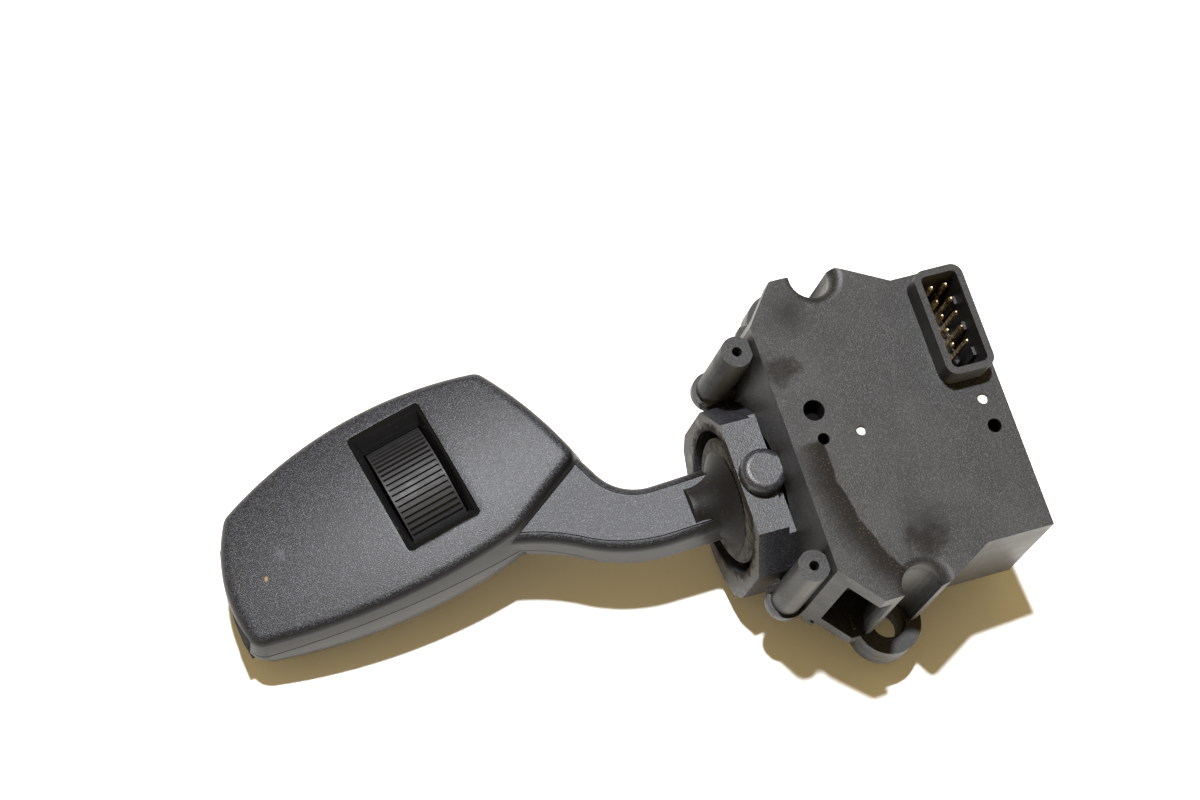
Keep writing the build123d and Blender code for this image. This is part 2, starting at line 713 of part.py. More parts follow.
def barrel_axis(height, across_r):
    return Axis(paddle.from_local_coords((0, 0, height - across_r)), paddle.x_dir)


def box_in_paddle(x_span, y_span, z_span, **options):
    """Extrude a box given by its spans in the paddle's coordinates."""
    with BuildSketch(raised(paddle, z_span[0])) as footprint:
        with Locations((sum(x_span) / 2, sum(y_span) / 2)):
            Rectangle(x_span[1] - x_span[0], y_span[1] - y_span[0])
    return extrude(footprint.sketch, amount=z_span[1] - z_span[0], **options)


seam_grow, lip_inset = 1.1, 0.15
upper_z = 10.0
button_y, button_z, button_gap = (-9.3, 7.4), (-3.8, 3.5), 0.15
button_hole = [(low - button_gap, high + button_gap) for low, high in (button_y, button_z)]
window_origin = paddle.from_local_coords((0, window_y, 0))
window_mid = Plane(origin=window_origin, x_dir=paddle.x_dir, z_dir=paddle.z_dir)

with BuildPart() as upper_room:
    loft(
        [
            paddle_outline(paddle, seam_grow - paddle_wall).face(),
            paddle_outline(raised(paddle, upper_z), -0.75 - paddle_wall).face(),
        ],
        ruled=True,
    )
    room_crown = (crown_h - paddle_wall, crown_across_r - paddle_wall)
    revolve(barrel_profile(*room_crown), axis=barrel_axis(*room_crown), mode=Mode.INTERSECT)

# root, neck and the paddle's upper shell are one moulding
with BuildPart() as lever_shell:
    loft(
        [
            paddle_outline(paddle, seam_grow).face(),
            paddle_outline(raised(paddle, upper_z), -0.75).face(),
        ],
        ruled=True,
    )
    crown = (crown_h, crown_across_r)
    revolve(barrel_profile(*crown), axis=barrel_axis(*crown), mode=Mode.INTERSECT)
    top_face = lever_shell.faces().sort_by(Axis(paddle.origin, paddle.z_dir))[-1]
    fillet(top_face.edges(), 2.2)
    add(neck_bar.part)
    add(upper_room.part, mode=Mode.SUBTRACT)
    box_in_paddle((-12, neck_cut_x), (-20, 6), (-6, 0), mode=Mode.SUBTRACT)
    with BuildSketch(raised(window_mid, 3.0)):
        RectangleRounded(window_wide, window_long, 0.8)
    extrude(amount=8.0, mode=Mode.SUBTRACT)
    box_in_paddle((-40, -31), *button_hole, mode=Mode.SUBTRACT)
    # recess for the inlay, and the channel for the leads
    recess = inlay_outline(raised(neck, neck_half_thick - inlay_thick), inlay_gap)
    extrude(recess, amount=inlay_thick + 0.1, mode=Mode.SUBTRACT)
    extrude(lead_outline(raised(neck, 2.0)), amount=0.85, mode=Mode.SUBTRACT)

# space of the neck's lower half, a little larger than it is
with BuildPart() as neck_passage:
    extrude(neck_outline(raised(neck, -4.1), -0.1), amount=8.2)
    box_in_paddle((-12, neck_cut_x - 0.1), (-20, 6), (-6, 6), mode=Mode.SUBTRACT)

with BuildPart() as paddle_lower_shell:
    loft(
        [
            paddle_outline(paddle, seam_grow - lip_inset).face(),
            paddle_outline(raised(paddle, -4.6), 0.0).face(),
            paddle_outline(raised(paddle, -belly_h), -2.2).face(),
        ],
        ruled=True,
    )
    loft(
        [
            paddle_outline(paddle, seam_grow - lip_inset - 1.6).face(),
            paddle_outline(raised(paddle, -4.2), -1.5).face(),
            paddle_outline(raised(paddle, 1.5 - belly_h), -3.2).face(),
        ],
        ruled=True,
        mode=Mode.SUBTRACT,
    )
    # posts for the paddle's board
    with BuildSketch(raised(paddle, 1.0 - belly_h)):
        with Locations((-26, -5), (-26, 5), (-11, 0)):
            Circle(1.4)
    extrude(amount=belly_h - 1.0 - 3.6)
    box_in_paddle((-40, -31), *button_hole, mode=Mode.SUBTRACT)
    add(neck_passage.part, mode=Mode.SUBTRACT)

slot_half, slot_end = wheel_wide / 2 + 0.3, 8.75
axle_z = crown_h - wheel_depth - wheel_r
bezel_low = 4.95


def window_section(height, width, length):
    """A rectangle level with the paddle's plane, around the middle of the window."""
    with BuildSketch(raised(window_mid, height)) as section:
        Rectangle(width, length)
    return section.sketch


def across_wheel(station):
    """The plane across the wheel's pin at a station along it."""
    origin = paddle.from_local_coords((station, window_y, axle_z))
    return Plane(origin=origin, x_dir=paddle.y_dir, z_dir=paddle.x_dir)


with BuildPart() as wheel_bezel:
    with BuildSketch(raised(window_mid, bezel_low)):
        RectangleRounded(window_wide - 0.2, window_long - 0.2, 0.7)
    extrude(amount=4.5)
    for side in both_sides:
        spans = sorted((side * slot_half, side * (slot_half + 1.4)))
        box_in_paddle(spans, (window_y - 3.0, window_y + 3.0), (-5.3, 6.0))
    bezel_crown = (crown_h - 0.15, crown_across_r - 0.15)
    revolve(barrel_profile(*bezel_crown), axis=barrel_axis(*bezel_crown), mode=Mode.INTERSECT)
    # funnel around the wheel
    slot_low = window_section(bezel_low, 2 * slot_half, 2 * slot_end)
    slot_high = window_section(9.2, window_wide - 0.7, window_long - 0.7)
    loft([slot_low.face(), slot_high.face()], mode=Mode.SUBTRACT)
    with BuildSketch(across_wheel(-8)):
        Circle(wheel_pin_r)
    extrude(amount=16, mode=Mode.SUBTRACT)

rib_count = round(2 * wheel_half_angle / rib_pitch) - 1
with BuildPart() as thumb_wheel:
    with BuildSketch(across_wheel(-wheel_wide / 2)) as wheel_side:
        Circle(wheel_r - rib_height)
        with BuildLine():
            reach = 2 * wheel_r
            edge_x, edge_y = sin(radians(wheel_half_angle)), cos(radians(wheel_half_angle))
            Polyline((0, -1.4), (reach * edge_x, reach * edge_y - 1.4), (reach, reach), close=False)
            Line((reach, reach), (-reach, reach))
            Polyline((-reach, reach), (-reach * edge_x, reach * edge_y - 1.4), (0, -1.4))
        make_face(mode=Mode.INTERSECT)
        first_rib = 90 - rib_pitch * (rib_count - 1) / 2
        with PolarLocations(wheel_r - 0.5, rib_count, first_rib, rib_pitch * rib_count):
            Rectangle(1.0, 0.5)
        Circle(1.75)
        Circle(wheel_pin_r + running_gap, mode=Mode.SUBTRACT)
    extrude(amount=wheel_wide)
    # smooth rims that close the ribs' ends
    for station in (-wheel_wide / 2, wheel_wide / 2 - flange_wide):
        with BuildSketch(across_wheel(station)):
            rim_arc = wheel_half_angle - 4
            with BuildLine():
                outer = CenterArc((0, 0), wheel_r - 0.1, 90 - rim_arc, 2 * rim_arc)
                inner = CenterArc((0, 0), wheel_r - 1.5, 90 - rim_arc, 2 * rim_arc)
                Line(outer @ 0, inner @ 0)
                Line(outer @ 1, inner @ 1)
            make_face()
        extrude(amount=flange_wide)

with BuildPart() as wheel_pin:
    with BuildSketch(across_wheel(-6.5)):
        Circle(wheel_pin_r)
    extrude(amount=13.0)

board_x, board_low = (-29.5, -8.2), -3.6
with BuildPart() as paddle_board:
    box_in_paddle(board_x, (-7.0, 7.0), (board_low, board_low + 1.2))

with BuildPart() as wheel_encoder:
    box_in_paddle((-10.6, -7.0), (-4.0, 4.0), (board_low + 1.2, 2.6))

with BuildPart() as button_switch:
    box_in_paddle((-29.4, -25.6), (-3.4, 3.4), (board_low + 1.2, 1.2))
    box_in_paddle((-30.2, -29.4), (-1.2, 1.2), (-1.4, 0.4))

with BuildPart() as end_button:
    with BuildSketch(raised(paddle, button_z[0])):
        with BuildLine():
            face_line = [(-37.4, button_y[0]), (-37.0, -5.0), (-36.2, -1.0), (-35.3, 3.0)]
            Polyline(
                face_line + [(-33.6, button_y[1]), (-32.0, button_y[1]), (-32.0, button_y[0])],
                close=True,
            )
        make_face()
    extrude(amount=button_z[1] - button_z[0])
    box_in_paddle((-32.6, -31.5), (-9.0, 4.2), (-4.2, 3.75))

for piece, name in (
    (housing_shell, "housing_shell"),
    (housing_cap, "housing_cap"),
    (base_cover, "base_cover"),
    (cover_screws, "cover_screws"),
    (circuit_board, "circuit_board"),
    (hall_sensors, "hall_sensors"),
    (controller_chip, "controller_chip"),
    (connector_pins, "connector_pins"),
    (inner_carrier, "inner_carrier"),
    (bearing_collar, "bearing_collar"),
    (gimbal_ring, "gimbal_ring"),
    (lever_root, "lever_root"),
    (cross_axle, "cross_axle"),
    (lever_magnet, "lever_magnet"),
    (detent_plunger, "detent_plunger"),
    (detent_spring, "detent_spring"),
    (detent_track, "detent_track"),
    (lever_shell, "lever_shell"),
    (neck_inlay, "neck_inlay"),
    (lead_ribbon, "lead_ribbon"),
    (dust_boot, "dust_boot"),
    (paddle_lower_shell, "paddle_lower_shell"),
    (wheel_bezel, "wheel_bezel"),
    (thumb_wheel, "thumb_wheel"),
    (wheel_pin, "wheel_pin"),
    (paddle_board, "paddle_board"),
    (wheel_encoder, "wheel_encoder"),
    (button_switch, "button_switch"),
    (end_button, "end_button"),
):
    piece.part.label = name
    export_step(piece.part, f"parts/{name}.step")
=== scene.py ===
"""Stalk switch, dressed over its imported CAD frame. Metres, in the frame of the housing."""

import math

import bpy
from mathutils import Matrix, Vector

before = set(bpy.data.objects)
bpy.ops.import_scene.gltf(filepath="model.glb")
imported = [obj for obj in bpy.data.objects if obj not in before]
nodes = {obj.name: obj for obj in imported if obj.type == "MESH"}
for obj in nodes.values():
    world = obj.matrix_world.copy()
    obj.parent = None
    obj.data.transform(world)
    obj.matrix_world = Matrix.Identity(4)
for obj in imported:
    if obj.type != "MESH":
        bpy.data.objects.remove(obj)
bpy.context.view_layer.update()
MM = 0.001


# ---------------------------------------------------------------- camera
# Over the paddle, looking down on the connector face.
CAMERA_AT = Vector((-215.093, -147.351, 571.512)) * MM
CAMERA_RIGHT = Vector((0.926698, -0.317397, 0.201221))
CAMERA_UP = Vector((0.235682, 0.907895, 0.346671))
CAMERA_BACK = Vector((-0.29272, -0.273835, 0.916149))
CAMERA_LENS, CAMERA_SENSOR = 112.5, 36.0  # millimetres
CAMERA_NEAR, CAMERA_FAR = 0.02, 20.0


def turned(x_axis, y_axis, z_axis):
    """The rotation whose columns are three axes."""
    return Matrix((x_axis, y_axis, z_axis)).transposed().to_4x4()


def add_camera():
    """Adds the camera at the photograph's viewing angle."""
    data = bpy.data.cameras.new("camera")
    data.sensor_width = CAMERA_SENSOR
    data.lens = CAMERA_LENS
    data.clip_start, data.clip_end = CAMERA_NEAR, CAMERA_FAR
    camera = bpy.data.objects.new("camera", data)
    camera.matrix_world = Matrix.Translation(CAMERA_AT) @ turned(
        CAMERA_RIGHT, CAMERA_UP, CAMERA_BACK
    )
    bpy.context.scene.collection.objects.link(camera)
    bpy.context.scene.camera = camera


add_camera()


# ---------------------------------------------------------------- table and light
# The switch lies loose on a table, so the table leans in the housing's frame.
TABLE_NORMAL = Vector((-0.148, 0.184, 0.972)).normalized()
TABLE_SIZE = 12.0
TABLE_GAP = 0.2 * MM
TABLE_COLOUR = (0.88, 0.87, 0.85)
TABLE_ROUGH, TABLE_SPECULAR = 0.8, 0.2
WARM_ROOM, ROOM_FROM = (0.46, 0.34, 0.15), 0.14  # colour, height on the unit sphere
PALE_WALL, WALL_UP_TO = (0.95, 0.94, 0.92), 0.06
KEY_ENERGY, KEY_ANGLE = 7.5, math.radians(3.5)
KEY_COLOUR = (0.95, 0.975, 1.0)
KEY_LEAN = 0.13  # how far the light leans towards the top of the picture


def lowest_along(direction):
    """The lowest reach of the CAD nodes along a direction."""
    return min(v.co.dot(direction) for node in nodes.values() for v in node.data.vertices)


def add_table():
    """Adds the plain pale floor just under the switch."""
    bpy.ops.mesh.primitive_plane_add(size=TABLE_SIZE)
    table = bpy.context.object
    table.name = "table_top"
    x_axis = (Vector((1, 0, 0)) - TABLE_NORMAL * TABLE_NORMAL.x).normalized()
    height = lowest_along(TABLE_NORMAL) - TABLE_GAP
    place = Matrix.Translation(TABLE_NORMAL * height)
    table.matrix_world = place @ turned(x_axis, TABLE_NORMAL.cross(x_axis), TABLE_NORMAL)
    # seen from below, the table is clear, so that low views still show the switch
    material = bpy.data.materials.new("table_white")
    material.use_nodes = True
    tree = material.node_tree
    shader = tree.nodes["Principled BSDF"]
    shader.inputs["Base Color"].default_value = (*TABLE_COLOUR, 1)
    shader.inputs["Roughness"].default_value = TABLE_ROUGH
    shader.inputs["Specular IOR Level"].default_value = TABLE_SPECULAR
    side = tree.nodes.new("ShaderNodeNewGeometry")
    clear = tree.nodes.new("ShaderNodeBsdfTransparent")
    both = tree.nodes.new("ShaderNodeMixShader")
    tree.links.new(side.outputs["Backfacing"], both.inputs["Fac"])
    tree.links.new(shader.outputs["BSDF"], both.inputs[1])
    tree.links.new(clear.outputs["BSDF"], both.inputs[2])
    tree.links.new(both.outputs["Shader"], tree.nodes["Material Output"].inputs["Surface"])
    table.data.materials.append(material)


def add_key_light():
    """A small lamp far overhead, which throws the crisp shadow below the switch."""
    data = bpy.data.lights.new("key_light", "SUN")
    data.energy = KEY_ENERGY
    data.angle = KEY_ANGLE
    data.color = KEY_COLOUR
    lamp = bpy.data.objects.new("key_light", data)
    lamp.rotation_mode = "QUATERNION"
    towards = TABLE_NORMAL + CAMERA_UP * KEY_LEAN
    lamp.rotation_quaternion = towards.to_track_quat("Z", "Y")
    bpy.context.scene.collection.objects.link(lamp)


def add_world():
    """A dim warm room above, and a pale wall down at the table's level."""
    world = bpy.data.worlds.new("studio")
    bpy.context.scene.world = world
    world.use_nodes = True
    tree = world.node_tree
    towards = tree.nodes.new("ShaderNodeTexCoord").outputs["Generated"]
    height = tree.nodes.new("ShaderNodeVectorMath")
    height.operation = "DOT_PRODUCT"
    height.inputs[1].default_value = TABLE_NORMAL
    tree.links.new(towards, height.inputs[0])
    shade = tree.nodes.new("ShaderNodeValToRGB")
    tree.links.new(height.outputs["Value"], shade.inputs["Fac"])
    low, high = shade.color_ramp.elements
    low.position, low.color = WALL_UP_TO, (*PALE_WALL, 1)
    high.position, high.color = ROOM_FROM, (*WARM_ROOM, 1)
    tree.links.new(shade.outputs["Color"], tree.nodes["Background"].inputs["Color"])


add_table()
add_key_light()
add_world()
bpy.context.scene.view_settings.view_transform = "Standard"


# ---------------------------------------------------------------- materials
class Finish:
    """One material: colour, gloss and grain laid over each other, in the object's metres."""

    def __init__(self, name, colour, rough):
        self.material = bpy.data.materials.new(name)
        self.material.use_nodes = True
        self.tree = self.material.node_tree
        self.shader = self.tree.nodes["Principled BSDF"]
        coordinates = self.tree.nodes.new("ShaderNodeTexCoord")
        self.place = coordinates.outputs["Object"]
        self.facing = coordinates.outputs["Normal"]
        self.colour = colour
        self.rough = rough
        self.shine = (1.0, 1.0, 1.0)
        self.normal = None

    def link(self, value, socket):
        """Feeds a socket from another socket, or sets it to a number or colour."""
        if isinstance(value, bpy.types.NodeSocket):
            self.tree.links.new(value, socket)
        elif isinstance(value, (int, float)) and socket.type == "RGBA":
            socket.default_value = (value, value, value, 1)
        elif socket.type == "RGBA":
            socket.default_value = (*value, 1)
        else:
            socket.default_value = value

    def math(self, operation, a, b=0.0):
        """One Math node."""
        node = self.tree.nodes.new("ShaderNodeMath")
        node.operation = operation
        self.link(a, node.inputs[0])
        self.link(b, node.inputs[1])
        return node.outputs[0]

    def vector(self, operation, a, b):
        """One Vector Math node; a distance or dot product gives a number."""
        node = self.tree.nodes.new("ShaderNodeVectorMath")
        node.operation = operation
        self.link(a, node.inputs[0])
        self.link(b, node.inputs[1])
        single = operation in ("DISTANCE", "DOT_PRODUCT")
        return node.outputs["Value" if single else "Vector"]

    def noise(self, size_mm, detail=2.0, rough=0.5, place=None):
        """Fractal noise whose coarsest cells are about size_mm across."""
        node = self.tree.nodes.new("ShaderNodeTexNoise")
        node.inputs["Scale"].default_value = 1 / (size_mm * MM)
        node.inputs["Detail"].default_value = detail
        node.inputs["Roughness"].default_value = rough
        self.tree.links.new(place or self.place, node.inputs["Vector"])
        return node.outputs["Fac"]

    def step(self, value, low, high, to_low=0.0, to_high=1.0):
        """A soft step from to_low at low to to_high at high."""
        node = self.tree.nodes.new("ShaderNodeMapRange")
        node.interpolation_type = "SMOOTHSTEP"
        self.link(value, node.inputs["Value"])
        bounds = (("From Min", low), ("From Max", high), ("To Min", to_low), ("To Max", to_high))
        for name, number in bounds:
            node.inputs[name].default_value = number
        return node.outputs["Result"]

    def both(self, a, b):
        """Where two masks are both 1; also a mask times a number."""
        return self.math("MULTIPLY", a, b)

    def mix(self, mask, a, b):
        """a where the mask is 0 and b where it is 1."""
        node = self.tree.nodes.new("ShaderNodeMix")
        node.data_type = "RGBA"
        self.link(mask, node.inputs[0])
        self.link(a, node.inputs[6])
        self.link(b, node.inputs[7])
        return node.outputs[2]

    def layer(self, mask, colour, rough=None, shine=None):
        """Lays a colour, and maybe another gloss, over what is there, where the mask is 1."""
        self.colour = self.mix(mask, self.colour, colour)
        if rough is not None:
            self.rough = self.mix(mask, self.rough, rough)
        if shine is not None:
            self.shine = self.mix(mask, self.shine, shine)

    def near(self, x, y, z, radius, soft, wobble=0.0, cell=2.0):
        """1 within radius of a point, fading over soft, with a ragged edge. Millimetres."""
        away = self.vector("DISTANCE", self.place, (x * MM, y * MM, z * MM))
        if wobble:
            ragged = self.noise(cell, 4.0, 0.65)
            shift = self.math("MULTIPLY", ragged, 2 * wobble * MM)
            away = self.math("ADD", away, shift)
            radius += wobble
        return self.step(away, (radius - soft) * MM, radius * MM, 1.0, 0.0)

    def turned_to(self, direction, low, high):
        """1 where the surface faces a direction."""
        facing = self.vector("DOT_PRODUCT", self.facing, Vector(direction).normalized())
        return self.step(facing, low, high)

    def bump(self, height, depth_mm, strength=1.0):
        """Adds a relief of a given depth."""
        node = self.tree.nodes.new("ShaderNodeBump")
        node.inputs["Distance"].default_value = depth_mm * MM
        self.link(strength, node.inputs["Strength"])
        self.link(height, node.inputs["Height"])
        if self.normal is not None:
            self.tree.links.new(self.normal, node.inputs["Normal"])
        self.normal = node.outputs["Normal"]

    def done(self, metallic=0.0, specular=0.5):
        """Feeds the shader and gives the material."""
        self.link(self.colour, self.shader.inputs["Base Color"])
        self.link(self.rough, self.shader.inputs["Roughness"])
        self.link(self.shine, self.shader.inputs["Specular Tint"])
        if self.normal is not None:
            self.tree.links.new(self.normal, self.shader.inputs["Normal"])
        self.shader.inputs["Metallic"].default_value = metallic
        self.shader.inputs["Specular IOR Level"].default_value = specular
        return self.material


DUST_BROWN = (0.060, 0.040, 0.024)
PIVOT_Z = 4.3  # height of the lever's axis, millimetres
FACE_Z = 26.0  # height of the connector face, millimetres
FINE_CELL, LEVER_CELL = 0.165, 0.155  # sizes of the mould grain, millimetres
FINE_DEPTH, FACE_DEPTH = 0.050, 0.045  # depths of the mould grain, millimetres
GRAIN_CREST = (0.53, 0.66)  # noise levels between which a crest begins
SPECK_LOW, SPECK_HIGH, SPECK_MORE = 0.74, 0.80, 0.12


def eroded(finish, cell_mm, depth_mm, painted_glint, cover=1.0):
    """Spark-eroded mould grain: a fine relief whose crests are painted a paler colour, as
    painted glints.
    """
    grain = finish.noise(cell_mm, 1.5, 0.6)
    glint_crests = finish.step(grain, *GRAIN_CREST)
    # painted glints: the grain's crests are painted a paler colour
    finish.layer(finish.both(glint_crests, cover), painted_glint)
    finish.bump(grain, depth_mm, cover)


def specks(finish, cell_mm, colour, amount, where=1.0):
    """Scattered dust specks, where a mask lets them lie."""
    more = SPECK_MORE * amount
    dots = finish.step(finish.noise(cell_mm, 2.0, 0.7), SPECK_LOW - more, SPECK_HIGH - more)
    finish.layer(finish.both(dots, where), colour, 0.8)


PADDLE_UP = (-0.24, 0.16, 0.96)  # the way the paddle's top faces
PADDLE_AT = (-64.1, 18.0, -10.2)
PADDLE_ALONG = (0.9497, 0.1880, 0.2504)
PADDLE_RISE = (-0.2746, 0.1156, 0.9546)
SEAM_CREST, SEAM_BOW, SEAM_RISE = 14.0, 4.0, 2.9  # crest and rise in mm, bow per metre
SEAM_END = (19.0, 20.0)
SCUFF_AT, FLECK_AT = (-90.0, 14.3, -9.3), (-93.3, 11.06, -10.43)
ROOT_DIRT_AND_SHADE_AT = (-17.5, 0.0, 6.0)


def seam(finish):
    """Masks of the bowed seam line on the paddle's side wall, and of the strip below it."""
    from_middle = finish.vector("SUBTRACT", finish.place, Vector(PADDLE_AT) * MM)
    along = finish.vector("DOT_PRODUCT", from_middle, PADDLE_ALONG)
    rise = finish.vector("DOT_PRODUCT", from_middle, PADDLE_RISE)
    off_crest = finish.math("ADD", along, SEAM_CREST * MM)
    bow = finish.math("MULTIPLY", finish.both(off_crest, off_crest), SEAM_BOW)
    over = finish.math("SUBTRACT", finish.math("ADD", rise, bow), SEAM_RISE * MM)
    line = finish.step(finish.math("ABSOLUTE", over), 0.06 * MM, 0.16 * MM, 1.0, 0.0)
    below = finish.step(over, -0.15 * MM, 0.0, 1.0, 0.0)
    on_paddle = finish.step(along, SEAM_END[0] * MM, SEAM_END[1] * MM, 1.0, 0.0)
    return finish.both(line, on_paddle), finish.both(below, on_paddle)


def paddle_plastic():
    """Grained on the top and smooth on the side walls."""
    finish = Finish("paddle_plastic", (0.030, 0.029, 0.029), 0.50)
    line, below = seam(finish)
    finish.layer(below, (0.042, 0.041, 0.040))
    finish.layer(line, 0.001, 0.9)
    top = finish.turned_to(PADDLE_UP, 0.17, 0.42)
    finish.layer(top, (0.0030, 0.0030, 0.0040), 0.43)
    grained = finish.turned_to(PADDLE_UP, 0.60, 0.90)
    broad = finish.noise(14.0, 2.0, 0.5)
    paler = finish.both(finish.step(broad, 0.35, 0.7, 0.0, 0.5), grained)
    finish.layer(paler, (0.006, 0.006, 0.008))
    # paler colour of the painted glints on the top's grain crests
    eroded(finish, LEVER_CELL, FINE_DEPTH, (0.075, 0.079, 0.102), grained)
    scuffs = finish.near(*SCUFF_AT, 1.5, 1.4, 2.5, 0.8)
    finish.layer(finish.both(scuffs, 0.30), (0.10, 0.10, 0.12))
    fleck = finish.near(*FLECK_AT, 0.40, 0.20, 0.5, 0.5)
    finish.layer(fleck, (0.19, 0.115, 0.045))
    # root dirt and painted shade: where the root sits in the collar's opening, the lever is
    # painted darker with dimmed reflection
    dirt = finish.near(*ROOT_DIRT_AND_SHADE_AT, 11.0, 3.5, 3.0, 3.0)
    finish.layer(finish.both(dirt, 0.95), (0.0035, 0.0030, 0.0027), 0.62, 0.45)
    specks(finish, 0.30, DUST_BROWN, 0.7, dirt)
    return finish.done(specular=0.30)


def inlay_plastic():
    """Grained all over."""
    finish = Finish("inlay_plastic", (0.005, 0.0052, 0.0068), 0.45)
    # paler colour of the painted glints on the inlay's grain crests
    eroded(finish, LEVER_CELL, FINE_DEPTH, (0.085, 0.090, 0.116))
    return finish.done(specular=0.28)


def gloss_plastic(name, rough, rim_dull_and_shade=0.0):
    """Smooth and shiny in patches; the last argument dulls what faces up with the paddle's top
    and paints shade on it, hiding its highlight.
    """
    finish = Finish(name, (0.009, 0.009, 0.010), rough)
    patches = finish.noise(3.0, 3.0, 0.6)
    finish.rough = finish.step(patches, 0.3, 0.7, rough - 0.05, rough + 0.08)
    finish.bump(finish.noise(0.5, 2.0, 0.5), 0.002)
    specks(finish, 0.22, (0.08, 0.08, 0.09), 0.4)
    # painted shade: the up-facing rim is painted darker, with dimmed reflection
    rim = finish.turned_to(PADDLE_UP, 0.90, 0.97)
    finish.layer(finish.both(rim, rim_dull_and_shade), 0.001, 0.9, 0.3)
    return finish.done(specular=0.4)


SPLASH_AT, SPLASH_R = (30.0, -4.0, FACE_Z), 38.2
TOP_STAINS = ((-10.5, 13.0, 3.6), (0.5, 25.0, 3.2), (3.0, -20.5, 4.0))  # x, y, radius
TOP_FILM = ((-6.0, 22.0, 6.0), (4.0, -18.0, 6.5))  # x, y, radius
SHADED_TOP_HOLES = ((-7.3, 5.2, 2.0), (21.2, -4.9, 1.4), (-7.4, 0.2, 1.2))  # x, y, radius


def splash_mask(finish, top, apart):
    """A dried brown splash that runs in a curve across the connector face."""
    away = finish.vector("DISTANCE", finish.place, Vector(SPLASH_AT) * MM)
    wander = finish.math("MULTIPLY", finish.noise(5.0, 3.0, 0.6), 2.0 * MM)
    away = finish.math("ADD", away, wander)
    reach = finish.step(apart.outputs["Y"], -0.5 * MM, 0.5 * MM, 1.0, 0.0)
    spread = finish.step(away, (SPLASH_R + 1.4) * MM, (SPLASH_R + 7.0) * MM, 1.0, 0.0)
    edge = finish.step(away, (SPLASH_R + 0.3) * MM, (SPLASH_R + 0.7) * MM)
    return finish.both(finish.both(finish.both(spread, edge), top), reach)


def housing_plastic():
    """Grained, with film, splash and stains on the connector face, painted light on the walls
    that face -Y and painted shade inside the holes.
    """
    finish = Finish("housing_plastic", (0.0038, 0.0036, 0.0038), 0.44)
    face = finish.turned_to((0, 0, 1), 0.7, 0.95)
    apart = finish.tree.nodes.new("ShaderNodeSeparateXYZ")
    finish.tree.links.new(finish.place, apart.inputs[0])
    top = finish.both(face, finish.step(apart.outputs["Z"], 25.2 * MM, 25.8 * MM))
    broad = finish.noise(12.0, 3.0, 0.55)
    finish.layer(finish.step(broad, 0.42, 0.70, 0.0, 0.8), (0.013, 0.0125, 0.0128))
    finish.rough = finish.step(finish.noise(9.0, 3.0, 0.6), 0.35, 0.65, 0.40, 0.52)
    # painted light: walls that face -Y are painted paler, as where light falls on them
    painted_lit_walls = finish.turned_to((0, -1, 0.15), 0.55, 0.9)
    finish.layer(painted_lit_walls, (0.055, 0.052, 0.048))
    cover = finish.step(painted_lit_walls, 0, 1, 1.0, 0.25)
    # paler colour of the painted glints on the grain's crests, fewer on the walls that face -Y
    eroded(finish, FINE_CELL, FACE_DEPTH, (0.042, 0.041, 0.044), cover)
    # road film dulls two regions of the connector face
    for x, y, radius in TOP_FILM:
        film = finish.near(x, y, FACE_Z, radius, 7.0, 3.0, 5.0)
        film = finish.both(film, finish.both(top, 0.8))
        finish.layer(film, (0.0040, 0.0034, 0.0032), 0.62, 0.6)
    splash = splash_mask(finish, top, apart)
    for x, y, radius in TOP_STAINS:
        stain = finish.near(x, y, FACE_Z, radius, 2.5, 5.0, 4.0)
        splash = finish.math("MAXIMUM", splash, finish.both(stain, finish.both(top, 0.7)))
    finish.layer(finish.both(splash, 0.9), (0.0035, 0.0024, 0.0018), 0.75, 0.4)
    specks(finish, 0.28, DUST_BROWN, 1.1, splash)
    specks(finish, 0.26, (0.07, 0.07, 0.07), 0.42)
    # painted shade: inside each hole, below the face, the plastic is painted nearly black with
    # dimmed reflection
    for x, y, radius in SHADED_TOP_HOLES:
        hole_shade = finish.near(x, y, 24.0, radius + 1.6, 0.3)
        below = finish.step(apart.outputs["Z"], 25.5 * MM, 25.85 * MM, 1.0, 0.0)
        finish.layer(finish.both(hole_shade, below), 0.002, 0.9, 0.3)
    return finish.done(specular=0.32)


def collar_plastic():
    """Grained, dusty in front and dirty round its opening."""
    finish = Finish("collar_plastic", (0.008, 0.008, 0.010), 0.38)
    # paler colour of the painted glints on the collar's grain crests
    eroded(finish, FINE_CELL, FINE_DEPTH, (0.060, 0.061, 0.072))
    front = finish.turned_to((-1, 0, 0), 0.8, 0.95)
    dusty = finish.step(finish.noise(1.2, 4.0, 0.7), 0.30, 0.62)
    finish.layer(finish.both(finish.both(front, dusty), 0.8), (0.075, 0.073, 0.068), 0.8)
    # dirt has crept out of the opening
    around = finish.vector("MULTIPLY", finish.place, (0, 1, 1))
    away = finish.vector("DISTANCE", around, (0, 0, PIVOT_Z * MM))
    away = finish.math("ADD", away, finish.both(finish.noise(1.6, 4.0, 0.7), 4.0 * MM))
    ring = finish.step(away, 14.3 * MM, 15.6 * MM, 1.0, 0.0)
    finish.layer(finish.both(finish.both(front, ring), 0.95), (0.010, 0.0065, 0.004), 1.0, 0.2)
    specks(finish, 0.30, (0.16, 0.15, 0.14), 0.5)
    return finish.done()


